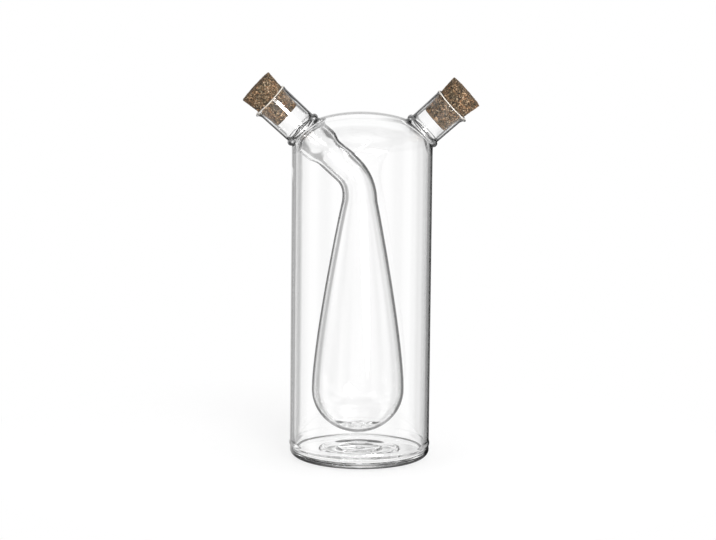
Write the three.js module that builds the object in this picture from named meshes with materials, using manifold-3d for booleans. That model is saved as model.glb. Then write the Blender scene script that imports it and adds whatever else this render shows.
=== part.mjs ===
import * as THREE from "three";
import { mergeVertices } from "three/addons/utils/BufferGeometryUtils.js";
import Module from "manifold-3d";

const wasm = await Module();
wasm.setup();

// Sizes are in millimetres and degrees. The bottle stands on z = 0 with its axis on x = y = 0.

// Outer vessel: a straight glass wall under a flattened dome.
const bodyRadius = 35;
const bodyWall = 2.2;
const wallTop = 159;
const domeRise = 15.2;

// Base: a flat foot, hollow in the middle, a rounded heel, a rippled floor and a low ridge at its seam.
const footWidth = 9;
const footHollow = 0.9;
const heelWidth = 7;
const heelHeight = 5;
const floorHeight = 3.6;
const floorFillet = 3.9;
const seamRise = 0.3;
const seamRidge = 0.35;
const seamBead = 0.6;
const rippleRadii = [19.5, 10.5];
const rippleWidth = 2.4;
const rippleHeight = 0.5;
const tipRadius = 3;
const tipHeight = 0.9;

// Spouts: two short tubes that leave the dome on opposite sides and widen a little to a rolled rim.
const weldAngle = 29;
const spoutElevation = 42.5;
const spoutRadius = 9;
const spoutFlare = 0.25;
const spoutWall = 1.15;
const oilSpoutLength = 18.9;
const vinegarSpoutLength = 21.2;
const spoutSeat = 3.2;
const lipBead = 1.1;
const lipProud = 0.6;
const lipDrop = 1.2;

// Seal rings: thick rings of melted glass where a spout joins the dome, each a bead over a flared foot.
const ringSink = 1.2;
const ringBead = 1.6;
const ringProud = 1.25;
const ringFlare = 4.2;
const ringFoot = 7;

// Inner vessel: a teardrop bulb that hangs from a bent neck.
const bulbOffset = -1;
const chamberWidth = 9.7;
const bulbFloorGap = 9.2;
const bulbFlatness = 0.95;
const bulbWall = 1.3;
const bulbBase = 3.8;
const bulbTopRadius = 8.8;
const bulbTopSlope = 0.205;
const bulbTopHandle = 0.31;
const bulbBellyHandle = 0.19;
const neckRadius = 7.9;
const neckWall = 1.5;
const neckBend = 20;
const neckLift = 0.8;
const throatInset = 0.5;
const bellProud = 0.7;
const bellSwell = 5.5;
const bellLength = 9.5;
const bellTaper = 5.5;

// Corks: tapered stoppers pushed half way into the spouts.
const corkTaper = 0.11;
const corkIn = 11.9;
const corkOut = 9.6;
const corkEdge = 0.5;
const corkSeatDepth = 8;

// Clearances.
const fuseGap = 0.3;
const corkGap = 0.15;

// Facets round each kind of piece, and along the curves of its outline.
const bodyFacets = 48;
const bulbFacets = 36;
const tubeFacets = 32;
const curveSteps = 8;

// Sizes that follow from those above.
const bodyBore = bodyRadius - bodyWall;
const seamHeight = floorHeight + floorFillet + seamRise;
const bulbRadius = bodyBore - chamberWidth;
const bulbBottom = floorHeight + bulbFloorGap;
const spoutBore = spoutRadius - spoutWall;
const mouthRadius = spoutBore + corkTaper * corkSeatDepth;
const throatRadius = spoutRadius - throatInset;
const bellRadius = spoutRadius + bellProud;
const corkRimRadius = mouthRadius - corkGap;
const corkBottomRadius = corkRimRadius - corkTaper * corkIn;
const corkTopRadius = corkRimRadius + corkTaper * corkOut;
const rise = THREE.MathUtils.degToRad(spoutElevation);
const weldTurn = THREE.MathUtils.degToRad(weldAngle);
const weldX = bodyRadius * Math.cos(weldTurn);
const weldZ = wallTop + domeRise * Math.sin(weldTurn);

// The neck runs down the left spout's axis, then bends to hang straight on the bulb's axis.
const neckTurn = Math.PI / 2 - rise;
const neckTop = spoutSeat + fuseGap;
const bendTangent = neckBend * Math.tan(neckTurn / 2);
const neckCorner = (weldX + bulbOffset) / Math.cos(rise);
const straightLength = neckCorner - bendTangent;
const neckLength = straightLength + neckBend * neckTurn;
const neckEndZ = weldZ - neckCorner * Math.sin(rise) - bendTangent;

function glass(colour) {
  return new THREE.MeshStandardMaterial({
    color: colour,
    roughness: 0.06,
    metalness: 0,
    transparent: true,
    opacity: 0.35,
  });
}

function corkBark(colour) {
  return new THREE.MeshStandardMaterial({
    color: colour,
    roughness: 0.92,
    metalness: 0,
  });
}

function point(radius, height) {
  return new THREE.Vector2(radius, height);
}

// Points along a quarter or more of an ellipse, angles counted from the level up.
function arc(radius, height, across, up, from, to, steps = curveSteps) {
  const points = [];
  for (let i = 0; i <= steps; i++) {
    const turn = THREE.MathUtils.degToRad(from + ((to - from) * i) / steps);
    points.push(point(radius + across * Math.cos(turn), height + up * Math.sin(turn)));
  }
  return points;
}

// A solid of revolution about z, whichever way round its outline is listed.
function turned(points, facets) {
  const outline = THREE.ShapeUtils.isClockWise(points) ? [...points].reverse() : points;
  return new THREE.LatheGeometry(outline, facets).rotateX(Math.PI / 2);
}

function solidOf(geometry) {
  const bare = geometry.clone();
  bare.deleteAttribute("normal");
  bare.deleteAttribute("uv");
  const merged = mergeVertices(bare, 1e-4);
  return new wasm.Manifold(
    new wasm.Mesh({
      numProp: 3,
      vertProperties: new Float32Array(merged.attributes.position.array),
      triVerts: new Uint32Array(merged.index.array),
    }),
  );
}

function geometryOf(solid) {
  const mesh = solid.getMesh();
  const geometry = new THREE.BufferGeometry();
  geometry.setAttribute("position", new THREE.BufferAttribute(mesh.vertProperties, 3));
  geometry.setIndex(new THREE.BufferAttribute(mesh.triVerts, 1));
  geometry.computeVertexNormals();
  return geometry;
}

function named(name, geometry, material) {
  const mesh = new THREE.Mesh(geometry, material);
  mesh.name = name;
  return mesh;
}

// A spout's own frame: z along its axis, x towards its pouring side, origin on the dome.
// The side is 1 for the right spout and -1 for the left one.
function onSpout(geometry, side) {
  const turn = new THREE.Euler(0, Math.PI / 2 - rise, side > 0 ? 0 : Math.PI, "ZYX");
  const frame = new THREE.Matrix4().makeRotationFromEuler(turn);
  frame.setPosition(side * weldX, 0, weldZ);
  return geometry.clone().applyMatrix4(frame);
}

function outerProfile(grow) {
  return [
    ...arc(0, wallTop, bodyRadius + grow, domeRise + grow, 90, 0),
    point(bodyRadius + grow, seamHeight),
  ];
}

function outerShell() {
  const inside = arc(0, wallTop, bodyBore, domeRise - bodyWall, 0, 90);
  const profile = [...outerProfile(0), point(bodyBore, seamHeight), ...inside];
  const bore = spoutRadius + fuseGap;
  const reach = 2 * spoutSeat + ringFoot;
  const drillOutline = [point(0, reach), point(bore, reach), point(bore, -reach), point(0, -reach)];
  const drill = turned(drillOutline, tubeFacets);
  let shell = solidOf(turned(profile, bodyFacets));
  for (const side of [1, -1]) {
    shell = shell.subtract(solidOf(onSpout(drill, side)));
  }
  return geometryOf(shell);
}

function baseCup() {
  const footOuter = bodyRadius - heelWidth;
  const footInner = footOuter - footWidth;
  const floorEdge = bodyBore - floorFillet;
  const floor = rippleRadii.flatMap((radius) => [
    point(radius + rippleWidth, floorHeight),
    point(radius, floorHeight + rippleHeight),
    point(radius - rippleWidth, floorHeight),
  ]);
  const profile = [
    point(0, floorHeight + tipHeight),
    point(tipRadius / 2, floorHeight + 0.7 * tipHeight),
    point(tipRadius, floorHeight),
    ...floor.reverse(),
    ...arc(floorEdge, floorHeight + floorFillet, floorFillet, floorFillet, -90, 0),
    point(bodyBore, seamHeight),
    ...arc(bodyRadius, seamHeight - seamBead, seamRidge, seamBead, 90, -90, 6),
    ...arc(footOuter, heelHeight, heelWidth, heelHeight, 0, -90),
    point(footInner, 0),
    point(footInner / 2, 0.8 * footHollow),
    point(0, footHollow),
  ];
  return turned(profile, bodyFacets);
}

// The bead of the rim is drawn out into a lip on the spout's pouring side. The mouth stays round.
function drawLip(geometry, length) {
  const spots = geometry.attributes.position;
  const lipRadius = spoutRadius + lipProud;
  for (let i = 0; i < spots.count; i++) {
    const x = spots.getX(i);
    const radius = Math.hypot(x, spots.getY(i));
    const facing = Math.max(0, x / radius);
    const height = THREE.MathUtils.smoothstep(spots.getZ(i), length - 3 * lipBead, length - lipBead);
    const outward = THREE.MathUtils.clamp((radius - mouthRadius) / (lipRadius - mouthRadius), 0, 1);
    spots.setX(i, x + lipDrop * facing * facing * height * outward);
  }
  return geometry;
}

function spoutTube(length) {
  const lipCentre = spoutRadius + lipProud - lipBead;
  const beadHeight = length - lipBead;
  const rim = arc(lipCentre, beadHeight, lipBead, lipBead, 75, -45);
  const profile = [
    point(spoutBore, -spoutSeat),
    point(spoutBore, length - corkSeatDepth),
    point(mouthRadius, length - lipBead / 4),
    ...rim,
    point(spoutRadius + spoutFlare, beadHeight - 2 * lipBead),
    point(spoutRadius, -spoutSeat),
    point(spoutBore, -spoutSeat),
  ];
  return drawLip(turned(profile, tubeFacets), length);
}

function sealRing() {
  const inner = spoutRadius + fuseGap;
  const bead = arc(spoutRadius, -ringSink, ringProud, ringBead, 70, -60);
  const crease = bead[bead.length - 1];
  const foot = [];
  for (let i = 1; i <= curveSteps; i++) {
    const down = i / curveSteps;
    const radius = THREE.MathUtils.lerp(crease.x, spoutRadius + ringFlare, down * down);
    foot.push(point(radius, THREE.MathUtils.lerp(crease.y, -ringFoot, down)));
  }
  const inside = [point(inner, -ringFoot), point(inner, bead[0].y)];
  const profile = [...inside, ...bead, ...foot, inside[0]];
  const dome = turned([...outerProfile(fuseGap), point(0, seamHeight)], bodyFacets);
  return (side) => geometryOf(solidOf(onSpout(turned(profile, tubeFacets), side)).subtract(solidOf(dome)));
}

// Radius of the neck's outside by distance down its centre line: a throat that swells to a bell.
function neckOutside(distance) {
  const swell = THREE.MathUtils.smoothstep(distance, neckTop, neckTop + bellSwell);
  const bell = THREE.MathUtils.smoothstep(distance, neckTop + bellLength, neckTop + bellLength + bellTaper);
  const foot = THREE.MathUtils.smoothstep(distance, straightLength, neckLength + bellTaper);
  const mouth = THREE.MathUtils.lerp(throatRadius, bellRadius, swell);
  const slim = THREE.MathUtils.lerp(mouth, neckRadius, bell);
  const last = THREE.MathUtils.smoothstep(neckLength, straightLength, neckLength + bellTaper);
  return slim + ((bulbTopRadius - neckRadius) * foot) / last;
}

// A circle square to the neck's centre line, as points in order round it.
function neckCircle(distance, radius) {
  const down = Math.min(distance, straightLength);
  const turn = neckTurn - Math.max(0, distance - straightLength) / neckBend;
  const bendX = bulbOffset - neckBend;
  const centre = new THREE.Vector3(down * Math.cos(rise) - weldX, 0, weldZ - down * Math.sin(rise));
  if (distance > straightLength) {
    centre.set(bendX + neckBend * Math.cos(turn), 0, neckEndZ + neckBend * Math.sin(turn));
  }
  const lifted = THREE.MathUtils.smoothstep(distance, neckTop, neckTop + bellLength);
  const settled = THREE.MathUtils.smoothstep(distance, straightLength, neckLength);
  const lift = neckLift * lifted * (1 - settled);
  centre.add(new THREE.Vector3(lift * Math.cos(turn), 0, lift * Math.sin(turn)));
  const circle = [];
  for (let i = 0; i < tubeFacets; i++) {
    const round = (2 * Math.PI * i) / tubeFacets;
    const across = radius * Math.cos(round);
    const aside = radius * Math.sin(round);
    const spot = new THREE.Vector3(across * Math.cos(turn), aside, across * Math.sin(turn));
    circle.push(spot.add(centre));
  }
  return circle;
}

// A closed skin through circles of points: each joins the next, and the last joins the first.
function skin(circles) {
  const count = circles[0].length;
  const faces = [];
  circles.forEach((circle, row) => {
    const next = (row + 1) % circles.length;
    for (let i = 0; i < count; i++) {
      const side = (i + 1) % count;
      faces.push(row * count + i, next * count + i, row * count + side);
      faces.push(row * count + side, next * count + i, next * count + side);
    }
  });
  const geometry = new THREE.BufferGeometry().setFromPoints(circles.flat());
  geometry.setIndex(faces);
  geometry.computeVertexNormals();
  return geometry;
}

function vinegarNeck() {
  const outside = [];
  const inside = [];
  const steps = 2 * curveSteps;
  for (let i = 0; i <= steps; i++) {
    const distance = neckTop + ((neckLength - neckTop) * i) / steps;
    const radius = neckOutside(distance);
    outside.push(neckCircle(distance, radius));
    inside.unshift(neckCircle(distance, radius - neckWall));
  }
  return skin([...outside, ...inside]);
}

// One skin of the bulb, from the pole at its bottom up to its neck. The inner one leaves the bottom thick.
function bulbSkin(inset, baseInset) {
  const belly = bulbBottom + bulbFlatness * bulbRadius;
  const height = neckEndZ - belly;
  const topEase = bulbTopHandle * height;
  const side = new THREE.CubicBezierCurve(
    point(bulbRadius - inset, belly),
    point(bulbRadius - inset, belly + bulbBellyHandle * height),
    point(bulbTopRadius - inset + bulbTopSlope * topEase, neckEndZ - topEase),
    point(bulbTopRadius - inset, neckEndZ),
  );
  const cap = arc(0, belly, bulbRadius - inset, bulbFlatness * bulbRadius - baseInset, -90, 0);
  return [...cap, ...side.getPoints(curveSteps).slice(1)];
}

function vinegarBulb() {
  const inside = bulbSkin(bulbWall, bulbBase).reverse();
  const profile = [...bulbSkin(0, 0), point(bulbTopRadius - neckWall, neckEndZ), ...inside.slice(1)];
  return turned(profile, bulbFacets).translate(bulbOffset, 0, 0);
}

function corkStopper(rim) {
  const bottom = rim - corkIn;
  const top = rim + corkOut;
  const profile = [
    point(0, bottom),
    point(corkBottomRadius - corkEdge, bottom),
    point(corkBottomRadius, bottom + corkEdge),
    point(corkRimRadius, rim),
    point(corkTopRadius, top - corkEdge),
    point(corkTopRadius - corkEdge, top),
    point(0, top),
  ];
  return turned(profile, tubeFacets);
}

const bottle = new THREE.Group();
const ring = sealRing();
bottle.add(named("outer_shell", outerShell(), glass(0xe4eeee)));
bottle.add(named("base_cup", baseCup(), glass(0xd8e6e6)));
bottle.add(named("vinegar_bulb", vinegarBulb(), glass(0xd2e2e6)));
bottle.add(named("vinegar_neck", vinegarNeck(), glass(0xccdde2)));
for (const [name, side, length] of [["oil", 1, oilSpoutLength], ["vinegar", -1, vinegarSpoutLength]]) {
  bottle.add(named(`${name}_spout`, onSpout(spoutTube(length), side), glass(0xdcebec)));
  bottle.add(named(`${name}_seal_ring`, ring(side), glass(0xc6d8da)));
  bottle.add(named(`${name}_cork`, onSpout(corkStopper(length), side), corkBark(0xc39a68)));
}

export default bottle;
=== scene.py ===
import math

import bmesh
import bpy
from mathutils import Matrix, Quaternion, Vector


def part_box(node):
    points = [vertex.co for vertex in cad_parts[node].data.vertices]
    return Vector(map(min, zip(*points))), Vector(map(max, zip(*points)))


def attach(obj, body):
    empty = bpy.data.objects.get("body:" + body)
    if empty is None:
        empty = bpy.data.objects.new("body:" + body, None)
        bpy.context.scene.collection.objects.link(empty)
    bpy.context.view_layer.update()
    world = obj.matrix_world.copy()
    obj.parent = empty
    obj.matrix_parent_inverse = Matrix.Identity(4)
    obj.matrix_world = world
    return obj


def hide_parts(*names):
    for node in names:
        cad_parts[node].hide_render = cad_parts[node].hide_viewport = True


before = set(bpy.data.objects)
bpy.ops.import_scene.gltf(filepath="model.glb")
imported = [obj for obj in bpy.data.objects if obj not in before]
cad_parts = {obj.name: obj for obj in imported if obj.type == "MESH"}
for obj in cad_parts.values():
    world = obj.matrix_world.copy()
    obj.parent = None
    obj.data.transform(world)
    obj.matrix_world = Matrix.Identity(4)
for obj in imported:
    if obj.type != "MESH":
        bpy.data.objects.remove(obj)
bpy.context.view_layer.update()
mm = 0.001
closeGap = 0.002 * mm  # corners nearer than this become one
weldGap = 0.004 * mm  # the same where two skins meet
glassNodes = [
    "outer_shell", "base_cup", "vinegar_bulb", "vinegar_neck",
    "oil_spout", "oil_seal_ring", "vinegar_spout", "vinegar_seal_ring",
]

# the straight wall, the dome and the thick bottom
vessel = {
    "radius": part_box("outer_shell")[1].y,
    "top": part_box("outer_shell")[1].z,
    "wall": 2.2 * mm,
    "wallTop": 159 * mm,
    "heelWidth": 5.5 * mm,
    "heelHeight": 3.8 * mm,
    "footWidth": 9 * mm,
    "hollow": 0.9 * mm,
    "floor": 3.6 * mm,
    "fillet": 2 * mm,
    "seam": 7.2 * mm,  # a low ridge where the wall was welded to its base
    "seamRidge": 0.3 * mm,
    "seamHalf": 1.7 * mm,
    "ripples": [18.8 * mm, 10.3 * mm],
    "rippleFront": 1 * mm,  # steep outwards, slow towards the middle
    "rippleBack": 3.5 * mm,
    "rippleHeight": 0.75 * mm,
    "tipWidth": 2.2 * mm,
    "tipHeight": 0.9 * mm,
    "steps": 128,  # columns round the bottle
    "hollowRows": 10,
    "hollowFlare": 1.5,
    "footRows": 5,
    "roundRows": 14,  # in the heel, the seam and the floor's corner
    "floorRows": 64,
    "wallRows": 18,
    "crownRows": 9,
}

# where the wall is opened for a spout
opening = {
    "low": 147 * mm,
    "turn": 69,  # degrees up the dome
    "columns": 11,  # to each side of the middle
    "wallRows": 6,
    "domeRows": 14,
    "rings": 6,
}

spout = {
    "weldAngle": 29,
    "elevation": 42.5,
    "lengths": {1: 18.9 * mm, -1: 21.2 * mm},  # right for oil, left for vinegar
    "radius": 9 * mm,
    "flare": 0.25 * mm,
    "bore": 7.85 * mm,
    "mouth": 8.73 * mm,
    "seat": 8 * mm,
    "bead": 1.1 * mm,
    "beadProud": 0.6 * mm,
    "lipDrop": 1.2 * mm,
    "footRadius": 13.6 * mm,  # on the pouring side
    "footTop": 10.9 * mm,  # on the dome side
    "creaseRadius": 9.75 * mm,
    "crease": -2.9 * mm,
    "collarRadius": 1.25 * mm,
    "collarHalf": 1.6 * mm,
    "collarMiddle": -1.2 * mm,
    "shared": 1.5 * mm,  # height at which the oil bore meets the chamber
    "holeFoot": 11.2 * mm,
    "holeRings": 12,
    "footBlend": 0.25,  # how soon the foot's curve leaves the wall
    "footRings": 9,
    "collarTurn": (-68, 80),  # degrees round the collar
    "collarRings": 12,
    "tubeFrom": 1.2,  # half collars from the collar's middle
    "tubeRings": 7,
    "rimReach": 3,  # beads below the mouth where the rim begins
    "beadTurn": (-40, 75),
    "beadRings": 12,
    "mouthEdge": 0.27 * mm,
    "mouthRound": (0.01 * mm, 0.1 * mm),
    "seatRings": 6,
    "boreRings": 6,
}

searchReach = (-28 * mm, 16 * mm)  # along a spout, where its wall is looked for
searchSteps = 40

neck = {
    "offset": -1 * mm,
    "bend": 20 * mm,
    "radius": 7.9 * mm,
    "wall": 1.5 * mm,
    "bell": 9.7 * mm,
    "bellEnd": 13 * mm,
    "slimFrom": 18.5 * mm,
    "boreEnd": 12.6 * mm,
    "boreSlimFrom": 18.1 * mm,
    "lift": 0.8 * mm,  # the neck hangs a little to the dome side until its bend
    "liftFrom": 3.5 * mm,
    "rootRadius": 11.4 * mm,
    "rootReach": 2.4 * mm,
    "rootRings": 10,
    "start": 9.2 * mm,
    "foot": 5.5 * mm,
    "rings": 14,  # in the straight part, and again in the bend
}

bulb = {
    "radius": 23.1 * mm,
    "bottom": 12.8 * mm,
    "flatness": 0.95,
    "wall": 1.3 * mm,
    "pool": 3.8 * mm,  # height of the glass that has run together in the closed bottom
    "poolBlend": 0.12 * mm,
    "foldHeight": 0.9 * mm,  # where the bottom was folded shut
    "foldWidth": 1.2 * mm,
    "foldSway": 0.7 * mm,
    "foldWave": 2.4 * mm,
    "topRadius": 8.8 * mm,
    "topSlope": 0.205,
    "topHandle": 0.31,
    "bellyHandle": 0.19,
    "tipHeight": 0.7 * mm,
    "tipWidth": 2.6 * mm,
    "sideRings": 30,
    "capRings": 40,
    "capTurn": -89,  # degrees round the bottom, short of its middle
}


def lerp(start, end, share):
    return start + (end - start) * share


def smoothStep(value, low, high):
    share = min(1, max(0, (value - low) / (high - low)))
    return share * share * (3 - 2 * share)


def evenly(start, end, count):  # count values after start, the last of them at end
    return [lerp(start, end, i / count) for i in range(1, count + 1)]


def arcPoints(centre, across, up, fromAngle, toAngle, count):
    spots = []
    for angle in [fromAngle] + evenly(fromAngle, toAngle, count):
        turn = math.radians(angle)
        spots.append((centre[0] + across * math.cos(turn), centre[1] + up * math.sin(turn)))
    return spots


def startFresh():
    if bpy.context.mode != "OBJECT":
        bpy.ops.object.mode_set(mode="OBJECT")
    bpy.ops.object.select_all(action="DESELECT")


# one corner drawn out along an outline, then spun about the bottle's axis
def spinOutline(name, outline):
    startFresh()
    bpy.ops.mesh.primitive_plane_add(size=mm)
    piece = bpy.context.object
    piece.name = name
    bpy.ops.object.mode_set(mode="EDIT")
    bpy.ops.mesh.select_mode(type="VERT")
    bpy.ops.mesh.select_all(action="SELECT")
    bpy.ops.mesh.merge(type="CENTER")
    bpy.ops.transform.translate(value=(outline[0][0], 0, outline[0][1]))
    for here, there in zip(outline, outline[1:]):
        step = (there[0] - here[0], 0, there[1] - here[1])
        bpy.ops.mesh.extrude_vertices_move(TRANSFORM_OT_translate={"value": step})
    bpy.ops.mesh.select_all(action="SELECT")
    bpy.ops.mesh.spin(steps=vessel["steps"], angle=2 * math.pi, center=(0, 0, 0), axis=(0, 0, 1))
    bpy.ops.mesh.select_all(action="SELECT")
    bpy.ops.mesh.remove_doubles(threshold=closeGap)
    bpy.ops.object.mode_set(mode="OBJECT")
    return piece


def drawnFrom(old):  # the new corner that an extrude has drawn out of an old one
    return next(edge.other_vert(old) for edge in old.link_edges if edge.other_vert(old).select)


# a circle extruded ring by ring, each new ring moved to its place
def extrudeRings(name, rings, closed=False):
    startFresh()
    bpy.ops.mesh.primitive_circle_add(vertices=len(rings[0]), radius=mm, fill_type="NOTHING")
    piece = bpy.context.object
    piece.name = name
    bpy.ops.object.mode_set(mode="EDIT")
    bpy.ops.mesh.select_mode(type="EDGE")
    bpy.ops.mesh.select_all(action="SELECT")
    mesh = bmesh.from_edit_mesh(piece.data)
    loop = list(mesh.verts)
    for vertex, spot in zip(loop, rings[0]):
        vertex.co = spot
    for ring in rings[1:]:
        bpy.ops.mesh.extrude_edges_move()
        loop = [drawnFrom(old) for old in loop]
        for vertex, spot in zip(loop, ring):
            vertex.co = spot
    if closed:
        bpy.ops.mesh.merge(type="CENTER")
    bmesh.update_edit_mesh(piece.data)
    bpy.ops.object.mode_set(mode="OBJECT")
    return piece


rise = math.radians(spout["elevation"])
weldTurn = math.radians(spout["weldAngle"])
domeRise = vessel["top"] - vessel["wallTop"]
weldX = vessel["radius"] * math.cos(weldTurn)
weldZ = vessel["wallTop"] + domeRise * math.sin(weldTurn)
outside = {"radius": vessel["radius"], "rise": domeRise}
inside = {"radius": vessel["radius"] - vessel["wall"], "rise": domeRise - vessel["wall"]}
ringCount = 4 * opening["columns"] + 2 * (opening["wallRows"] + opening["domeRows"])
ringAngles = [2 * math.pi * i / ringCount for i in range(ringCount)]


def domeArc(skin, fromAngle, toAngle, count):
    centre = (0, vessel["wallTop"])
    return arcPoints(centre, skin["radius"], skin["rise"], fromAngle, toAngle, count)


# the rows that a spout's opening is cut from, straight wall first
def openingRows(skin):
    heights = evenly(opening["low"], vessel["wallTop"], opening["wallRows"])
    wall = [(skin["radius"], z) for z in [opening["low"]] + heights]
    return wall + domeArc(skin, 0, opening["turn"], opening["domeRows"])[1:]


def upperOutline(skin, low):
    rows = openingRows(skin)
    wall = [(skin["radius"], z) for z in evenly(low, opening["low"], vessel["wallRows"])][:-1]
    return wall + rows + domeArc(skin, opening["turn"], 90, vessel["crownRows"])[1:]


def outerOutline():
    footOuter = vessel["radius"] - vessel["heelWidth"]
    footInner = footOuter - vessel["footWidth"]
    hollow = []
    for share in [0] + evenly(0, 1, vessel["hollowRows"]):
        height = vessel["hollow"] * (1 - share ** 2) ** vessel["hollowFlare"]
        hollow.append((footInner * share, height))
    foot = [(r, 0) for r in evenly(footInner, footOuter, vessel["footRows"])][:-1]
    width, height = vessel["heelWidth"], vessel["heelHeight"]
    heel = arcPoints((footOuter, height), width, height, -90, 0, vessel["roundRows"])
    seam = []
    for share in evenly(-1, 1, vessel["roundRows"]):
        proud = vessel["seamRidge"] * (1 + math.cos(math.pi * share)) / 2
        seam.append((vessel["radius"] + proud, vessel["seam"] + share * vessel["seamHalf"]))
    return hollow + foot + heel + seam + upperOutline(outside, seam[-1][1])


def floorLevel(radius):
    level = vessel["floor"]
    for ripple in vessel["ripples"]:
        width = vessel["rippleFront"] if radius > ripple else vessel["rippleBack"]
        level += vessel["rippleHeight"] * math.exp(-((radius - ripple) / width) ** 2)
    return level + vessel["tipHeight"] * math.exp(-((radius / vessel["tipWidth"]) ** 4))


def innerOutline():
    floorEdge = inside["radius"] - vessel["fillet"]
    filletZ = vessel["floor"] + vessel["fillet"]
    flat = [(r, floorLevel(r)) for r in [0] + evenly(0, floorEdge, vessel["floorRows"])][:-1]
    fillet = vessel["fillet"]
    corner = arcPoints((floorEdge, filletZ), fillet, fillet, -90, 0, vessel["roundRows"])
    return flat + corner + upperOutline(inside, filletZ)


# a spout's own directions: along it, towards its pouring side, and across
def spoutFrame(side):
    return {
        "side": side,
        "origin": Vector((side * weldX, 0, weldZ)),
        "along": Vector((side * math.cos(rise), 0, math.sin(rise))),
        "pour": Vector((side * math.sin(rise), 0, -math.cos(rise))),
        "across": Vector((0, side, 0)),
    }


def onSpout(axes, x, y, s):
    return axes["origin"] + axes["pour"] * x + axes["across"] * y + axes["along"] * s


# how far along the spout a spot of its cross section meets the wall or dome
def reachSkin(axes, skin, x, y):
    low, high = searchReach
    for i in range(searchSteps):
        middle = (low + high) / 2
        spot = onSpout(axes, x, y, middle)
        level = max(0, spot.z - vessel["wallTop"]) / skin["rise"]
        beyond = (spot.x ** 2 + spot.y ** 2) / skin["radius"] ** 2 + level ** 2 > 1
        low, high = (low, middle) if beyond else (middle, high)
    return low


def openingEdge(axes, skin):
    columns = opening["columns"]
    rows = openingRows(skin)
    top = len(rows) - 1
    walk = [(i, 0) for i in range(columns)]
    walk += [(columns, j) for j in range(top)]
    walk += [(i, top) for i in range(columns, -columns, -1)]
    walk += [(-columns, j) for j in range(top, 0, -1)]
    walk += [(i, 0) for i in range(-columns, 0)]
    edge = []
    for column, row in walk:
        turn = 2 * math.pi * column / vessel["steps"]
        radius, z = rows[row]
        across = axes["side"] * radius
        edge.append(Vector((across * math.cos(turn), across * math.sin(turn), z)))
    return edge


# rings that lie on the skin, from the opening's square edge in to a closed curve round the spout
def rootRings(axes, skin, radii):
    edge = openingEdge(axes, skin)
    rings = [edge]
    for share in evenly(0, 1, opening["rings"]):
        ring = []
        for spot, angle, radius in zip(edge, ringAngles, radii):
            away = spot - axes["origin"]
            x = lerp(away.dot(axes["pour"]), radius * math.cos(angle), share)
            y = lerp(away.dot(axes["across"]), radius * math.sin(angle), share)
            ring.append(onSpout(axes, x, y, reachSkin(axes, skin, x, y)))
        rings.append(ring)
    return rings


# a curve in each spoke's own plane, led by three (radius, height) spots,
# and drawn aside as the neck is
def filletRings(axes, curves, count, aside=lambda distance: 0):
    rings = []
    for share in evenly(0, 1, count):
        ring = []
        for angle, (start, corner, end) in zip(ringAngles, curves):
            weights = ((1 - share) ** 2, 2 * share * (1 - share), share ** 2)
            radius = sum(w * spot[0] for w, spot in zip(weights, (start, corner, end)))
            s = sum(w * spot[1] for w, spot in zip(weights, (start, corner, end)))
            x = radius * math.cos(angle) - share * aside(-s)
            ring.append(onSpout(axes, x, radius * math.sin(angle), s))
        rings.append(ring)
    return rings


def rootCurve(axes, skin, angle, footRadius, cornerRadius, end):
    spots = []
    for radius in (footRadius, cornerRadius):
        s = reachSkin(axes, skin, radius * math.cos(angle), radius * math.sin(angle))
        spots.append((radius, s))
    return (*spots, end(spots[1][1]))


def circleRing(axes, radius, s):
    return [onSpout(axes, radius * math.cos(a), radius * math.sin(a), s) for a in ringAngles]


# the rim's bead is drawn out on the pouring side, and the mouth stays round
def rimRing(axes, radius, s, length):
    height = smoothStep(s, length - spout["rimReach"] * spout["bead"], length - spout["bead"])
    lipRadius = spout["radius"] + spout["beadProud"]
    outward = min(1, max(0, (radius - spout["mouth"]) / (lipRadius - spout["mouth"])))
    ring = []
    for angle in ringAngles:
        facing = max(0, math.cos(angle))
        drop = spout["lipDrop"] * facing ** 2 * height * outward
        ring.append(onSpout(axes, radius * math.cos(angle) + drop, radius * math.sin(angle), s))
    return ring


# the outside of a spout from the wall to its rim, then down the mouth to where the cork's seat ends
def spoutRings(axes):
    length = spout["lengths"][axes["side"]]
    crease = (spout["creaseRadius"], spout["crease"])
    feet = [lerp(spout["footTop"], spout["footRadius"], (1 + math.cos(a)) / 2) for a in ringAngles]
    curves = []
    for angle, foot in zip(ringAngles, feet):
        corner = lerp(spout["creaseRadius"], foot, spout["footBlend"])
        curves.append(rootCurve(axes, outside, angle, foot, corner, lambda s: crease))
    rings = rootRings(axes, outside, feet)
    rings += filletRings(axes, curves, spout["footRings"])
    middle = (spout["radius"], spout["collarMiddle"])
    low, high = spout["collarTurn"]
    collar = arcPoints(
        middle, spout["collarRadius"], spout["collarHalf"], low, high, spout["collarRings"]
    )
    rings += [circleRing(axes, radius, s) for radius, s in collar]
    tubeStart = (spout["radius"], spout["collarMiddle"] + spout["tubeFrom"] * spout["collarHalf"])
    tubeEnd = (spout["radius"] + spout["flare"], length - spout["rimReach"] * spout["bead"])
    for share in [0] + evenly(0, 1, spout["tubeRings"]):
        radius, s = (lerp(start, end, share) for start, end in zip(tubeStart, tubeEnd))
        rings.append(circleRing(axes, radius, s))
    middle = (spout["radius"] + spout["beadProud"] - spout["bead"], length - spout["bead"])
    low, high = spout["beadTurn"]
    rim = arcPoints(middle, spout["bead"], spout["bead"], low, high, spout["beadRings"])
    step, drop = spout["mouthRound"]
    rim += [(spout["mouth"] + step, length - drop), (spout["mouth"], length - spout["mouthEdge"])]
    rings += [rimRing(axes, radius, s, length) for radius, s in rim]
    for share in evenly(0, 1, spout["seatRings"]):
        radius = lerp(spout["mouth"], spout["bore"], share)
        depth = lerp(spout["mouthEdge"], spout["seat"], share)
        rings.append(circleRing(axes, radius, length - depth))
    return rings


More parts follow.
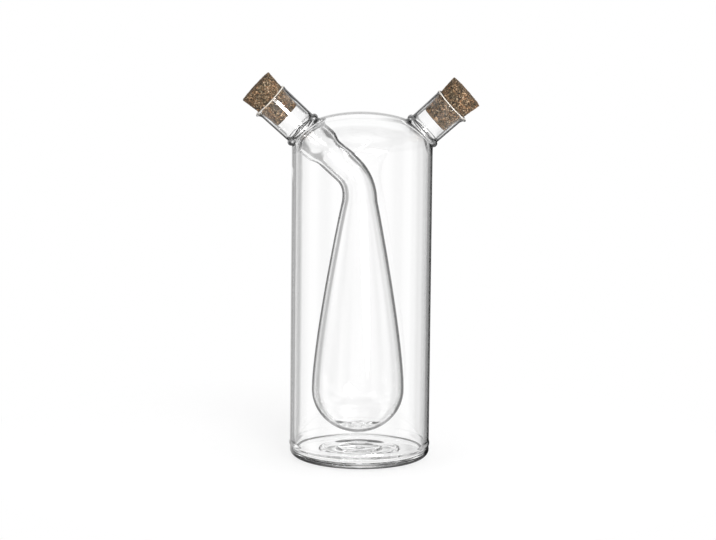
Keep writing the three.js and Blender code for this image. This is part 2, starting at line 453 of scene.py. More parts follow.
def boreRings(axes, end):
    start = spout["lengths"][axes["side"]] - spout["seat"]
    return [circleRing(axes, spout["bore"], s) for s in evenly(start, end, spout["boreRings"])]


def oilHoleRings(axes):
    end = (spout["bore"], spout["shared"])
    curves = [
        rootCurve(axes, inside, angle, spout["holeFoot"], spout["bore"], lambda s: end)
        for angle in ringAngles
    ]
    rings = rootRings(axes, inside, [spout["holeFoot"]] * ringCount)
    return rings + filletRings(axes, curves, spout["holeRings"])


neckTurn = math.pi / 2 - rise
neckCorner = (weldX + neck["offset"]) / math.cos(rise)
bendTangent = neck["bend"] * math.tan(neckTurn / 2)
straightLength = neckCorner - bendTangent
neckLength = straightLength + neck["bend"] * neckTurn
neckEndZ = weldZ - neckCorner * math.sin(rise) - bendTangent


def neckFoot(distance):  # what the neck widens by on its way round the bend
    end = neckLength + neck["foot"]
    share = smoothStep(distance, straightLength, end) / smoothStep(neckLength, straightLength, end)
    return (bulb["topRadius"] - neck["radius"]) * share


def neckOutside(distance):
    slim = smoothStep(distance, neck["bellEnd"], neck["slimFrom"])
    return lerp(neck["bell"], neck["radius"], slim) + neckFoot(distance)


def neckInside(distance):
    slim = smoothStep(distance, neck["boreEnd"], neck["boreSlimFrom"])
    return lerp(spout["bore"], neck["radius"] - neck["wall"], slim) + neckFoot(distance)


def neckLift(distance):
    settled = smoothStep(distance, straightLength, neckLength)
    return neck["lift"] * smoothStep(distance, neck["liftFrom"], neck["bellEnd"]) * (1 - settled)


def neckRing(distance, radius):
    down = min(distance, straightLength)
    turn = neckTurn - max(0, distance - straightLength) / neck["bend"]
    centre = Vector((down * math.cos(rise) - weldX, 0, weldZ - down * math.sin(rise)))
    if distance > straightLength:
        centre.x = neck["offset"] - neck["bend"] * (1 - math.cos(turn))
        centre.z = neckEndZ + neck["bend"] * math.sin(turn)
    across = Vector((math.cos(turn), 0, math.sin(turn)))
    centre += across * neckLift(distance)
    ring = []
    for angle in ringAngles:
        aside = Vector((0, radius * math.sin(angle), 0))
        ring.append(centre - across * radius * math.cos(angle) - aside)
    return ring


def neckRings(start, width):
    distances = evenly(start, straightLength, neck["rings"])
    distances += evenly(straightLength, neckLength, neck["rings"])
    return [neckRing(distance, width(distance)) for distance in distances]


# the bulb's inside, raised where glass has run together at the bottom, with a wavy fold across it
def poolLevel(x, y, z):
    away = (y - bulb["foldSway"] * math.sin(x / bulb["foldWave"])) / bulb["foldWidth"]
    pool = bulb["bottom"] + bulb["pool"] + bulb["foldHeight"] * math.exp(-away ** 2)
    return (z + pool) / 2 + math.hypot((z - pool) / 2, bulb["poolBlend"])


def bulbRings(inset, topRadius):
    belly = bulb["bottom"] + bulb["flatness"] * bulb["radius"]
    height = neckEndZ - belly
    ease = bulb["topHandle"] * height
    width = bulb["radius"] - inset
    curve = [
        (topRadius, neckEndZ),
        (bulb["topRadius"] - inset + bulb["topSlope"] * ease, neckEndZ - ease),
        (width, belly + bulb["bellyHandle"] * height),
        (width, belly),
    ]
    outline = []
    for share in evenly(0, 1, bulb["sideRings"]):
        rest = 1 - share
        weights = (rest ** 3, 3 * share * rest ** 2, 3 * share ** 2 * rest, share ** 3)
        outline.append([sum(w * spot[k] for w, spot in zip(weights, curve)) for k in (0, 1)])
    depth = bulb["flatness"] * bulb["radius"] - inset
    cap = arcPoints((0, belly), width, depth, 0, bulb["capTurn"], bulb["capRings"])[1:]
    rings = []
    for radius, z in outline + cap:
        tip = bulb["tipHeight"] * math.exp(-((radius / bulb["tipWidth"]) ** 2))
        ring = []
        for a in ringAngles:
            x = -radius * math.cos(a)
            y = -radius * math.sin(a)
            level = poolLevel(x, y, z) + tip if inset else z - tip
            ring.append(Vector((neck["offset"] + x, y, level)))
        rings.append(ring)
    return rings


def vinegarInsideRings(axes):
    rings = spoutRings(axes) + boreRings(axes, 0)
    rings += neckRings(0, neckInside)
    return rings + bulbRings(bulb["wall"], bulb["topRadius"] - neck["wall"])


def vinegarOutsideRings(axes):
    curves = []
    for angle in ringAngles:
        curves.append(rootCurve(
            axes, inside, angle, neck["rootRadius"], neck["bell"],
            lambda s: (neck["bell"], s - neck["rootReach"]),
        ))
    rings = rootRings(axes, inside, [neck["rootRadius"]] * ringCount)
    rings += filletRings(axes, curves, neck["rootRings"], neckLift)
    rings.append(neckRing(neck["start"], neckOutside(neck["start"])))
    return rings + neckRings(neck["start"], neckOutside) + bulbRings(0, bulb["topRadius"])


# takes the wall's faces out of the square where a spout goes
def cutOpening(piece, skin, side):
    rows = openingRows(skin)
    widest = 2 * math.pi * opening["columns"] / vessel["steps"]
    startFresh()
    bpy.context.view_layer.objects.active = piece
    piece.select_set(True)
    bpy.ops.object.mode_set(mode="EDIT")
    bpy.ops.mesh.select_mode(type="FACE")
    bpy.ops.mesh.select_all(action="DESELECT")
    mesh = bmesh.from_edit_mesh(piece.data)
    for face in mesh.faces:
        middle = face.calc_center_median()
        turn = math.atan2(side * middle.y, side * middle.x)
        level = rows[0][1] < middle.z < rows[-1][1]
        face.select = level and abs(turn) < widest and middle.xy.length > rows[-1][0]
    bmesh.update_edit_mesh(piece.data)
    bpy.ops.mesh.delete(type="FACE")
    bpy.ops.object.mode_set(mode="OBJECT")


def makeVessel():
    oil = spoutFrame(1)
    vinegar = spoutFrame(-1)
    skins = [spinOutline("glass_vessel", outerOutline()), spinOutline("chamber", innerOutline())]
    for piece, skin in zip(skins, (outside, inside)):
        cutOpening(piece, skin, 1)
        cutOpening(piece, skin, -1)
    tubes = [
        extrudeRings("oilSpout", spoutRings(oil) + boreRings(oil, spout["shared"])),
        extrudeRings("oilHole", oilHoleRings(oil)),
        extrudeRings("vinegarInside", vinegarInsideRings(vinegar), closed=True),
        extrudeRings("vinegarOutside", vinegarOutsideRings(vinegar), closed=True),
    ]
    slants = [bodySlant, chamberSlant, tubeSlant, holeSlant, vinegarSlant, bulbSlant]
    for piece, slantAt in zip(skins + tubes, slants):
        markEdges(piece, slantAt)
    startFresh()
    for piece in skins + tubes:
        piece.select_set(True)
    bpy.context.view_layer.objects.active = skins[0]
    bpy.ops.object.join()
    piece = bpy.context.object
    bpy.ops.object.mode_set(mode="EDIT")
    bpy.ops.mesh.select_all(action="SELECT")
    bpy.ops.mesh.remove_doubles(threshold=weldGap)
    bpy.ops.mesh.normals_make_consistent(inside=False)
    bpy.ops.object.mode_set(mode="OBJECT")
    bpy.ops.object.shade_smooth()
    loose = sum(1 for edge in edgeUse(piece) if edge != 2)
    print("glass vessel:", len(piece.data.polygons), "faces,", loose, "open edges")
    return piece


def edgeUse(piece):
    counts = [0] * len(piece.data.edges)
    for loop in piece.data.loops:
        counts[loop.edge_index] += 1
    return counts


cork = {
    "rimRadius": 8.58 * mm,
    "taper": 0.11,
    "inside": 11.9 * mm,  # below the rim
    "outside": 9.6 * mm,  # above it
    "edge": 0.5 * mm,
    "sides": 160,
    "rows": 60,
    "capRings": 22,
    "capMiddle": 0.4 * mm,
    "edgeRows": 3,
    "pits": 0.2 * mm,
    "pitSize": 0.9 * mm,
    "pitContrast": 1.2,
    "swell": 0.18 * mm,
    "swellSize": 4 * mm,
    "seeds": {1: (0.1, 0.2, 0.3), -1: (0.5, 0.1, 0.7)},  # where its pits are drawn, by side
}


def addDent(piece, name, kind, size, depth, **settings):
    texture = bpy.data.textures.new(name, kind)
    texture.noise_scale = size
    for key, value in settings.items():
        setattr(texture, key, value)
    modifier = piece.modifiers.new(name, "DISPLACE")
    modifier.texture = texture
    modifier.texture_coords = "LOCAL"
    modifier.mid_level = 1
    modifier.strength = depth
    bpy.ops.object.modifier_apply(modifier=name)


# a tapered stopper turned upright, pitted all over, then laid along its spout
def makeCork(name, axes):
    seedPlace = Vector(cork["seeds"][axes["side"]])
    low = cork["rimRadius"] - cork["taper"] * cork["inside"]
    high = cork["rimRadius"] + cork["taper"] * cork["outside"]
    edge = cork["edge"]
    top = cork["outside"]
    bottom = -cork["inside"]
    shares = [0] + evenly(0, 1, cork["rows"])
    side = [(lerp(low, high, t), lerp(bottom + edge, top - edge, t)) for t in shares]
    lowCap = [(r, bottom) for r in evenly(cork["capMiddle"], low - edge, cork["capRings"])]
    highCap = [(r, top) for r in evenly(high - edge, cork["capMiddle"], cork["capRings"])]
    lowEdge = arcPoints((low - edge, bottom + edge), edge, edge, -90, 0, cork["edgeRows"])[1:-1]
    highEdge = arcPoints((high - edge, top - edge), edge, edge, 0, 90, cork["edgeRows"])[1:]
    outline = lowCap + lowEdge + side + highEdge + highCap
    angles = [2 * math.pi * i / cork["sides"] for i in range(cork["sides"])]
    rings = [[Vector((r * math.cos(a), r * math.sin(a), z)) for a in angles] for r, z in outline]
    piece = extrudeRings(name, rings, closed=True)
    bpy.ops.object.mode_set(mode="EDIT")
    bpy.ops.mesh.select_mode(type="EDGE")
    bpy.ops.mesh.select_all(action="DESELECT")
    bpy.ops.mesh.select_non_manifold()
    bpy.ops.mesh.merge(type="CENTER")
    bpy.ops.mesh.select_all(action="SELECT")
    bpy.ops.mesh.normals_make_consistent(inside=False)
    bpy.ops.transform.translate(value=seedPlace)
    bpy.ops.object.mode_set(mode="OBJECT")
    contrast = cork["pitContrast"]
    addDent(piece, name + "Swell", "CLOUDS", cork["swellSize"], cork["swell"])
    addDent(
        piece, name + "Pits", "VORONOI", cork["pitSize"], cork["pits"], noise_intensity=contrast
    )
    bpy.ops.object.mode_set(mode="EDIT")
    bpy.ops.mesh.select_all(action="SELECT")
    bpy.ops.transform.translate(value=-seedPlace)
    bpy.ops.object.mode_set(mode="OBJECT")
    bpy.ops.object.shade_smooth()
    piece.rotation_mode = "QUATERNION"
    piece.rotation_quaternion = axes["along"].to_track_quat("Z", "Y")
    piece.location = axes["origin"] + axes["along"] * spout["lengths"][axes["side"]]
    bpy.ops.object.transform_apply(location=True, rotation=True, scale=True)
    print(name + ":", len(piece.data.polygons), "faces")
    return piece


def newMaterial(name):
    material = bpy.data.materials.new(name)
    material.use_nodes = True
    tree = material.node_tree
    return material, tree.nodes, tree.links, tree.nodes["Principled BSDF"]


def feed(links, pairs):  # each socket takes a value or a link
    for socket, value in pairs:
        if isinstance(value, (int, float, tuple)):
            socket.default_value = value
        else:
            links.new(value, socket)


def combine(nodes, links, operation, first, second=0):
    node = nodes.new("ShaderNodeMath")
    node.operation = operation
    feed(links, zip(node.inputs, (first, second)))
    return node.outputs[0]


def spread(nodes, links, value, low, high, start=0, end=1):
    node = nodes.new("ShaderNodeMapRange")
    node.inputs["From Min"].default_value = start
    node.inputs["From Max"].default_value = end
    node.inputs["To Min"].default_value = low
    node.inputs["To Max"].default_value = high
    links.new(value, node.inputs["Value"])
    return node.outputs["Result"]


def addNoise(nodes, links, vector, scale, detail):
    noise = nodes.new("ShaderNodeTexNoise")
    noise.inputs["Scale"].default_value = scale
    noise.inputs["Detail"].default_value = detail
    links.new(vector, noise.inputs["Vector"])
    return noise


def addBump(nodes, links, height, distance, shader):
    bump = nodes.new("ShaderNodeBump")
    bump.inputs["Distance"].default_value = distance
    links.new(height, bump.inputs["Height"])
    links.new(bump.outputs["Normal"], shader.inputs["Normal"])


def mixColour(nodes, links, factor, first, second, blend="MIX"):
    mix = nodes.new("ShaderNodeMix")
    mix.data_type = "RGBA"
    mix.blend_type = blend
    sockets = (mix.inputs["Factor"], mix.inputs[6], mix.inputs[7])  # the last two take colours
    feed(links, zip(sockets, (factor, first, second)))
    return mix.outputs[2]


def mixSurface(nodes, links, factor, first, second):
    mix = nodes.new("ShaderNodeMixShader")
    feed(links, zip(mix.inputs, (factor, first, second)))
    links.new(mix.outputs["Shader"], nodes["Material Output"].inputs["Surface"])


def colourRamp(nodes, links, value, stops):
    ramp = nodes.new("ShaderNodeValToRGB")
    elements = ramp.color_ramp.elements
    while len(elements) > 1:
        elements.remove(elements[-1])
    for i, (position, colour) in enumerate(stops):
        element = elements[0] if i == 0 else elements.new(position)
        element.position = position
        element.color = (*colour, 1)
    links.new(value, ramp.inputs["Fac"])
    return ramp.outputs["Color"]


def greyRamp(nodes, links, value, stops):
    return colourRamp(nodes, links, value, [(share, (level,) * 3) for share, level in stops])


clearGlass = {
    "ior": 1.47,
    # painted shade: the glass's colour goes dark where it is seen edge on, drawing its dark
    # outlines
    "paintedEdgeShade": [(0, 1), (0.1, 1), (0.2, 0.25), (0.3, 0.04), (1, 0)],  # dark seen edge on
    # the widths below are of painted dark outlines, shade painted into the glass's colour
    "outline": {  # how wide the dark outline of each curve is
        "wall": 1.6 * mm,
        "dome": 2 * mm,
        "heel": 0.7 * mm,
        "tube": 1.5 * mm,
        "neck": 1.75 * mm,
        "bulbLeft": 1.2 * mm,
        "bulbBottom": 2 * mm,
    },
    "leftTurn": (-0.5, 0.5),  # where round the bulb its finer left line begins
    "leftFade": 15 * mm,
    "bellTurn": (0.2, 0.6),  # where round the bell its line ends, close to the wall
    "bellFade": 2 * mm,
    "noSlant": 0.001,  # leaves no outline
    "collarSlant": 1,
    "collarFade": 1.6,  # half collars from its middle
    "holeSlant": 0.5,
    "floorSlant": 0.2,
    "poolSlant": 0.215,
    "skinGap": 0.1 * mm,  # slack in telling a spout's outside from its bore
    "cornerTurn": math.radians(48),  # the part of the floor's round corner that shows as a line
    "cornerShare": 0.8,
    "shade": 0.93,  # what lamp light keeps at each skin it passes
    "waveScale": 55,
    "waveDetail": 1,
    "waveDepth": 0.03 * mm,
}


# how slanted the eye meets a curve at the inner side of its painted dark outline, the glass's
# colour darkened as shade
def edgeSlant(radius, outline):
    return math.sqrt(1 - (1 - outline / radius) ** 2)


# stores on each corner how wide its painted dark outline is
def markEdges(piece, slantAt):
    marks = piece.data.attributes.new("edgeSlant", "FLOAT", "POINT")
    for vertex, mark in zip(piece.data.vertices, marks.data):
        mark.value = slantAt(vertex.co)


def bodySlant(spot):
    outline = clearGlass["outline"]
    if spot.z < vessel["heelHeight"]:
        return edgeSlant(vessel["heelHeight"], outline["heel"])
    share = max(0, spot.z - vessel["wallTop"]) / domeRise
    radius = lerp(vessel["radius"], vessel["radius"] ** 2 / domeRise, share)
    return edgeSlant(radius, lerp(outline["wall"], outline["dome"], share))


# inside, the back of each ripple and the floor's corner get a painted dark outline: the glass's
# colour darkened as shade where seen edge on
def chamberSlant(spot):
    if spot.z > vessel["floor"] + vessel["fillet"]:
        return clearGlass["noSlant"]
    climb = math.asin(min(1, max(0, (spot.xy.length - inside["radius"]) / vessel["fillet"] + 1)))
    if climb > clearGlass["cornerTurn"]:
        return clearGlass["noSlant"]
    corner = math.asin(clearGlass["floorSlant"] * clearGlass["cornerShare"]) + climb
    return max(clearGlass["floorSlant"], math.sin(corner) / clearGlass["cornerShare"])


# height along a spout and distance from its axis
def spoutSpot(spot):
    axes = spoutFrame(math.copysign(1, spot.x))
    away = spot - axes["origin"]
    s = away.dot(axes["along"])
    return s, (away - axes["along"] * s).length


def tubeSlant(spot):
    s, radius = spoutSpot(spot)
    half = spout["collarHalf"]
    collar = smoothStep(abs(s - spout["collarMiddle"]), clearGlass["collarFade"] * half, half)
    tube = edgeSlant(spout["radius"], clearGlass["outline"]["tube"])
    tube = lerp(tube, clearGlass["collarSlant"], collar)
    return lerp(tube, bodySlant(spot), smoothStep(radius, spout["creaseRadius"], spout["footTop"]))


def holeSlant(spot):  # the rounded edge of the oil spout's hole
    s, radius = spoutSpot(spot)
    away = smoothStep(radius, spout["creaseRadius"], spout["holeFoot"])
    return lerp(clearGlass["holeSlant"], clearGlass["noSlant"], away)


# painted shade: the width of the dark outline painted into the colour of the skin that the neck and
# the bulb turn to the outer chamber
def bulbSlant(spot):
    outline = clearGlass["outline"]
    if spot.z < bulb["bottom"] + bulb["radius"] / 2:
        return edgeSlant(bulb["radius"], outline["bulbBottom"])
    if spot.z < neckEndZ:
        radius = math.hypot(spot.x - neck["offset"], spot.y)
        left = smoothStep((neck["offset"] - spot.x) / radius, *clearGlass["leftTurn"])
        left *= smoothStep(neckEndZ - spot.z, 0, clearGlass["leftFade"])
        return edgeSlant(radius, lerp(outline["neck"], outline["bulbLeft"], left))
    axes = spoutFrame(-1)
    away = spot - axes["origin"]
    s = away.dot(axes["along"])
    across = away - axes["along"] * s + axes["pour"] * neckLift(-s)
    root = 0
    if s > -neck["bellEnd"]:
        root = smoothStep(across.length, neck["bell"], neck["rootRadius"])
    pour = across.dot(axes["pour"]) / neck["radius"]
    bell = smoothStep(s, -neck["slimFrom"] - clearGlass["bellFade"], -neck["bellEnd"])
    bell *= smoothStep(pour, *clearGlass["bellTurn"])
    line = edgeSlant(neck["radius"], outline["neck"])
    return lerp(line, clearGlass["noSlant"], max(root, bell))


# painted shade: the width of the dark outline painted into the colour of the skin over the vinegar
# spout and on down inside the neck and the bulb
def vinegarSlant(spot):
    s, radius = spoutSpot(spot)
    outer = radius > spout["radius"] - clearGlass["skinGap"] and spot.z > opening["low"]
    if outer and spot.x < 0:
        return tubeSlant(spot)
    pooled = spot.z < bulb["bottom"] + bulb["pool"] + 2 * bulb["foldHeight"]
    return clearGlass["poolSlant"] if pooled else clearGlass["noSlant"]


def makeGlassMaterial():
    material, nodes, links, shader = newMaterial("clearGlass")
    shader.inputs["IOR"].default_value = clearGlass["ior"]
    shader.inputs["Transmission Weight"].default_value = 1
    shader.inputs["Roughness"].default_value = 0
    facing = nodes.new("ShaderNodeLayerWeight")
    slant = combine(nodes, links, "SUBTRACT", 1, facing.outputs["Facing"])
    edge = nodes.new("ShaderNodeAttribute")
    edge.attribute_name = "edgeSlant"
    within = combine(nodes, links, "DIVIDE", slant, edge.outputs["Fac"])
    outer = combine(nodes, links, "SUBTRACT", 1, within)
    # painted shade: the base colour darkens within each marked outline where the glass is seen edge
    # on
    edgeShade = greyRamp(nodes, links, outer, clearGlass["paintedEdgeShade"])
    links.new(edgeShade, shader.inputs["Base Color"])
    place = nodes.new("ShaderNodeTexCoord").outputs["Object"]
    wave = addNoise(nodes, links, place, clearGlass["waveScale"], clearGlass["waveDetail"])
    addBump(nodes, links, wave.outputs["Fac"], clearGlass["waveDepth"], shader)
    # lamps and soft light reach what is behind the glass
    path = nodes.new("ShaderNodeLightPath").outputs
    unseen = combine(nodes, links, "MAXIMUM", path["Is Shadow Ray"], path["Is Diffuse Ray"])
    clear = nodes.new("ShaderNodeBsdfTransparent")
    clear.inputs["Color"].default_value = (clearGlass["shade"],) * 3 + (1,)
    mixSurface(nodes, links, unseen, shader.outputs["BSDF"], clear.outputs["BSDF"])
    return material


# the finely ground edge of a rim, coloured pale cream as a painted highlight line
groundRimHighlight = {
    "from": 22,  # degrees round the rim's bead
    "to": 48,
    "colour": (0.9, 0.85, 0.76, 1),
    "clear": 0.25,
    "grainScale": 3000,
    "grainDetail": 2,
    "roughness": (0.5, 0.75),
}


def makeRimMaterial():
    material, nodes, links, shader = newMaterial("groundRimHighlight")
    # pale cream paints the rim's highlight line
    shader.inputs["Base Color"].default_value = groundRimHighlight["colour"]
    shader.inputs["IOR"].default_value = clearGlass["ior"]
    shader.inputs["Transmission Weight"].default_value = groundRimHighlight["clear"]
    place = nodes.new("ShaderNodeTexCoord").outputs["Object"]
    grain = addNoise(nodes, links, place, groundRimHighlight["grainScale"], groundRimHighlight["grainDetail"])
    rough = spread(nodes, links, grain.outputs["Fac"], *groundRimHighlight["roughness"])
    links.new(rough, shader.inputs["Roughness"])
    return material


# the faces between two turns of a rim's bead take the ground finish and its painted cream highlight
def paintRimHighlights(piece):
    middle = spout["radius"] + spout["beadProud"] - spout["bead"]
    low = math.radians(groundRimHighlight["from"])
    high = math.radians(groundRimHighlight["to"])
    for axes in (spoutFrame(1), spoutFrame(-1)):
        level = spout["lengths"][axes["side"]] - spout["bead"]
        for face in piece.data.polygons:
            away = face.center - axes["origin"]
            s = away.dot(axes["along"])
            radius = (away - axes["along"] * s).length
            if s > level and radius > spout["mouth"]:
                turn = math.atan2(s - level, radius - middle)
                face.material_index = 1 if low < turn < high else 0


corkBark = {
    "grainScale": 1750,
    "chipScale": 420,
    "fineScale": 5200,
    "fineDetail": 3,
    "warp": 0.5 * mm,
    "warpDetail": 2,
    "tints": [
        (0, (0.022, 0.015, 0.009)), (0.16, (0.055, 0.037, 0.021)), (0.36, (0.105, 0.074, 0.041)),
        (0.56, (0.158, 0.107, 0.06)), (0.72, (0.24, 0.13, 0.066)), (0.86, (0.29, 0.2, 0.116)),
        (1, (0.56, 0.43, 0.3)),
    ],
    "chips": [
        (0, (0.6, 0.62, 0.6)), (0.45, (1, 1, 1)), (0.8, (1.15, 1.02, 0.92)), (1, (1.3, 1.2, 1.1)),
    ],
    "gapWidth": 0.12,
    "gapShade": 0.5,
    "speckle": (0.6, 1.4),
    "speckleFrom": (0.3, 0.7),
    "gloss": 0.25,
    "roughness": (0.78, 0.97),
    "relief": 0.12 * mm,
}


def corkCells(nodes, links, vector, scale, feature):
    cells = nodes.new("ShaderNodeTexVoronoi")
    cells.feature = feature
    cells.inputs["Scale"].default_value = scale
    links.new(vector, cells.inputs["Vector"])
    return cells


def cellTint(nodes, links, cells, stops):  # one colour for each cell
    split = nodes.new("ShaderNodeSeparateColor")
    links.new(cells.outputs["Color"], split.inputs["Color"])
    return colourRamp(nodes, links, split.outputs["Red"], stops)


# pressed cork: small granules of many browns, darker gaps between them,
# and larger chips that lean light or dark
def makeCorkMaterial():
    material, nodes, links, shader = newMaterial("corkBark")
    place = nodes.new("ShaderNodeTexCoord").outputs["Object"]
    drift = addNoise(nodes, links, place, corkBark["grainScale"] / 2, corkBark["warpDetail"])
    warp = nodes.new("ShaderNodeVectorMath")
    warp.operation = "MULTIPLY_ADD"
    feed(links, zip(warp.inputs, (drift.outputs["Color"], (corkBark["warp"],) * 3, place)))
    spot = warp.outputs["Vector"]
    grain = corkCells(nodes, links, spot, corkBark["grainScale"], "F1")
    gaps = corkCells(nodes, links, spot, corkBark["grainScale"], "DISTANCE_TO_EDGE")
    chips = corkCells(nodes, links, spot, corkBark["chipScale"], "F1")
    fine = addNoise(nodes, links, place, corkBark["fineScale"], corkBark["fineDetail"])
    fine = fine.outputs["Fac"]
    shades = (corkBark["gapShade"], 1)
    shade = spread(nodes, links, gaps.outputs["Distance"], *shades, 0, corkBark["gapWidth"])
    speckle = spread(nodes, links, fine, *corkBark["speckle"], *corkBark["speckleFrom"])
    colour = cellTint(nodes, links, grain, corkBark["tints"])
    for layer in (cellTint(nodes, links, chips, corkBark["chips"]), shade, speckle):
        colour = mixColour(nodes, links, 1, colour, layer, "MULTIPLY")
    links.new(colour, shader.inputs["Base Color"])
    rough = spread(nodes, links, fine, *corkBark["roughness"])
    links.new(rough, shader.inputs["Roughness"])
    addBump(nodes, links, shade, corkBark["relief"], shader)
    shader.inputs["Specular IOR Level"].default_value = corkBark["gloss"]
    return material


# levels by compass direction, seen only in the glass and its gloss:
# white behind each view and greyer between
sideCards = [  # the same at every height
    (99, 1), (100.5, 0.38), (110, 0.28), (124, 0.28), (129, 1), (141, 1), (150, 0.7),
    (156, 0.45), (166, 0.45), (173, 1), (187, 1), (196, 0.45), (208, 0.45), (225, 1), (285, 1),
    (296, 0.45), (302, 0.45), (308, 1), (322, 1), (331, 0.45), (341, 0.45), (360, 1),
]
studio = {
    "floorSize": 12,
    "floorDrop": 0.3 * mm,
    "floorColour": 0.95,
    "clearFrom": 0.07,  # from the bottle's axis, where the floor goes over to white
    "clearTo": 0.2,
    "daylight": [(0, 0.45), (0.5, 0.4), (0.75, 0.97), (1, 1.1)],  # on the corks and the floor
    "flags": [(0, 1), (44, 1), (54, 0.04), (85, 0.04), (88, 1), (360, 1)],  # what the gloss sees
    "highFlags": [(0, 0.12), (58, 0.12), (68, 1), (112, 1), (122, 0.12), (360, 0.12)],
    "highFlagsFrom": (0.5, 0.53),  # share of height where the higher flags begin
    "glossSky": [(0, 0.25), (0.37, 0.2), (0.41, 0), (0.8, 0), (0.9, 1), (1, 1)],
    "cards": [  # what is seen through the glass
        (0, 1), (20, 1), (42, 0.5), (50, 0.32), (64, 0.33), (73, 0.5), (75, 0.76),
        (83.5, 0.8), (84.5, 1), *sideCards,
    ],
    "highCards": [
        (0, 1), (20, 1), (42, 0.5), (50, 0.12), (84, 0.06), (87.5, 1), *sideCards,
    ],
    "highCardsFrom": (0.49, 0.51),
    "sky": [
        (0, 1), (0.33, 1), (0.355, 0), (0.6, 0), (0.63, 1), (0.7, 1), (0.74, 0.1),
        (0.86, 0.1), (0.91, 1), (1, 1),
    ],
}


def splitVector(nodes, links, vector):
    split = nodes.new("ShaderNodeSeparateXYZ")
    links.new(vector, split.inputs["Vector"])
    return split.outputs


def compassRamp(nodes, links, vector, stops):
    parts = splitVector(nodes, links, vector)
    turn = combine(nodes, links, "ARCTAN2", parts["Y"], parts["X"])
    share = combine(nodes, links, "DIVIDE", turn, 2 * math.pi)
    whole = combine(nodes, links, "FRACT", share)
    return greyRamp(nodes, links, whole, [(angle / 360, level) for angle, level in stops])


# the studio's level by height: share 0 is straight down, 0.5 level with the eye and 1 straight up
def heightRamp(nodes, links, vector, stops):
    climb = combine(nodes, links, "ARCSINE", splitVector(nodes, links, vector)["Z"])
    share = spread(nodes, links, climb, 0, 1, -math.pi / 2, math.pi / 2)
    return greyRamp(nodes, links, share, stops)


# the sky's levels by height, with the cards showing wherever the sky's level is 0
def surroundings(nodes, links, direction, cards, sky):
    level = heightRamp(nodes, links, direction, sky)
    covers = [(share, 0 if level == 0 else 1) for share, level in sky]
    cover = heightRamp(nodes, links, direction, covers)
    return mixColour(nodes, links, cover, compassRamp(nodes, links, direction, cards), level)


def makeWorld():
    world = bpy.data.worlds.new("studio")
    bpy.context.scene.world = world
    world.use_nodes = True
    nodes = world.node_tree.nodes
    links = world.node_tree.links
    path = nodes.new("ShaderNodeLightPath").outputs
    direction = nodes.new("ShaderNodeTexCoord").outputs["Generated"]
    sides = []
    for low, high, sky in (("flags", "highFlags", "glossSky"), ("cards", "highCards", "sky")):
        start, end = studio[high + "From"]
        climb = heightRamp(nodes, links, direction, [(start, 0), (end, 1)])
        levels = [
            surroundings(nodes, links, direction, studio[name], studio[sky]) for name in (low, high)
        ]
        sides.append(mixColour(nodes, links, climb, *levels))
    flags, cards = sides
    colour = heightRamp(nodes, links, direction, studio["daylight"])
    colour = mixColour(nodes, links, path["Is Glossy Ray"], colour, flags)
    colour = mixColour(nodes, links, path["Is Transmission Ray"], colour, cards)
    colour = mixColour(nodes, links, path["Is Camera Ray"], colour, (1, 1, 1, 1))
    links.new(colour, nodes["Background"].inputs["Color"])


def makeFloor():
    startFresh()
    bpy.ops.mesh.primitive_plane_add(
        size=studio["floorSize"], location=(0, 0, -studio["floorDrop"])
    )
    piece = bpy.context.object
    piece.name = "floor"
    material, nodes, links, shader = newMaterial("paleFloor")
    shader.inputs["Base Color"].default_value = (studio["floorColour"],) * 3 + (1,)
    shader.inputs["Roughness"].default_value = 1
    shader.inputs["Specular IOR Level"].default_value = 0
    place = nodes.new("ShaderNodeTexCoord").outputs["Object"]
    away = nodes.new("ShaderNodeVectorMath")
    away.operation = "LENGTH"
    links.new(place, away.inputs[0])
    ends = (studio["clearFrom"], studio["clearTo"])
    clear = spread(nodes, links, away.outputs["Value"], 0, 1, *ends)
    path = nodes.new("ShaderNodeLightPath").outputs
    share = combine(nodes, links, "MULTIPLY", path["Is Camera Ray"], clear)
    glow = nodes.new("ShaderNodeEmission")
    mixSurface(nodes, links, share, shader.outputs["BSDF"], glow.outputs["Emission"])
    piece.visible_transmission = False  # glass and gloss see the studio's own white
    piece.visible_glossy = False
    piece.data.materials.append(material)


softbox = {
    "place": (0.55, -1.36, 0.48),
    "aim": (0, 0, 0.17),
    "length": 0.8,
    "width": 0.62,
    "roll": -44,  # long side along the left spout
    "power": 18.5,
    "glossPower": 42,  # of its twin, a little nearer and seen only in the glass
    "glossNear": 0.95,
}


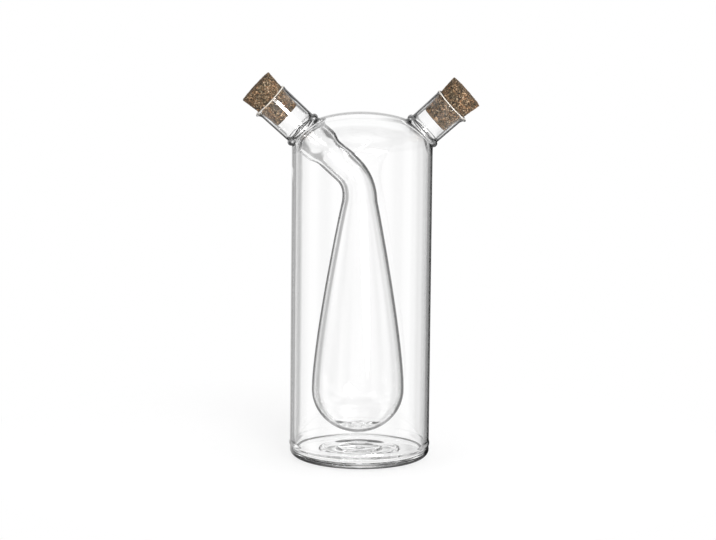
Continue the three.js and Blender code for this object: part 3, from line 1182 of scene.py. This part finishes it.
def makeLight(name, power, gloss, near):
    data = bpy.data.lights.new(name, "AREA")
    data.shape = "RECTANGLE"
    data.size = softbox["length"]
    data.size_y = softbox["width"]
    data.energy = power
    lamp = bpy.data.objects.new(name, data)
    bpy.context.collection.objects.link(lamp)
    lamp.visible_glossy = gloss
    lamp.visible_diffuse = not gloss
    lamp.visible_transmission = gloss
    lamp.location = Vector(softbox["aim"]).lerp(Vector(softbox["place"]), near)
    lamp.rotation_mode = "QUATERNION"
    look = (Vector(softbox["aim"]) - lamp.location).to_track_quat("-Z", "Y")
    lamp.rotation_quaternion = look @ Quaternion((0, 0, 1), math.radians(softbox["roll"]))


view = {
    "place": (0, -2, 0.4617),
    "aim": (0, 0, 0.095),
    "lens": 204.6,
    "sensor": 36,
    "shift": -3 / 716,  # three pixels of the picture's width
    "roll": 0.6,
}
bounces = {  # enough for light to pass every skin of the glass
    "max_bounces": 28,
    "transmission_bounces": 28,
    "glossy_bounces": 8,
    "transparent_max_bounces": 24,
}


def makeCamera():
    data = bpy.data.cameras.new("camera")
    data.lens = view["lens"]
    data.sensor_width = view["sensor"]
    data.shift_x = view["shift"]
    camera = bpy.data.objects.new("camera", data)
    bpy.context.collection.objects.link(camera)
    camera.location = view["place"]
    camera.rotation_mode = "QUATERNION"
    look = (Vector(view["aim"]) - camera.location).to_track_quat("-Z", "Y")
    camera.rotation_quaternion = look @ Quaternion((0, 0, 1), math.radians(view["roll"]))
    bpy.context.scene.camera = camera


glassVessel = makeVessel()
glassVessel.data.materials.append(makeGlassMaterial())
glassVessel.data.materials.append(makeRimMaterial())
paintRimHighlights(glassVessel)
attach(glassVessel, "vessel")
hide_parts(*glassNodes)

barkMaterial = makeCorkMaterial()
for corkName, corkSide in (("oil_cork", 1), ("vinegar_cork", -1)):
    stopper = makeCork(corkName + "_stopper", spoutFrame(corkSide))
    stopper.data.materials.append(barkMaterial)
    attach(stopper, corkName)
    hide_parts(corkName)

makeWorld()
makeFloor()
makeLight("softbox", softbox["power"], False, 1)
makeLight("glossCard", softbox["glossPower"], True, softbox["glossNear"])
makeCamera()
scene = bpy.context.scene
scene.view_settings.view_transform = "Standard"
for kind, count in bounces.items():
    setattr(scene.cycles, kind, count)
print("studio, light and camera in place")
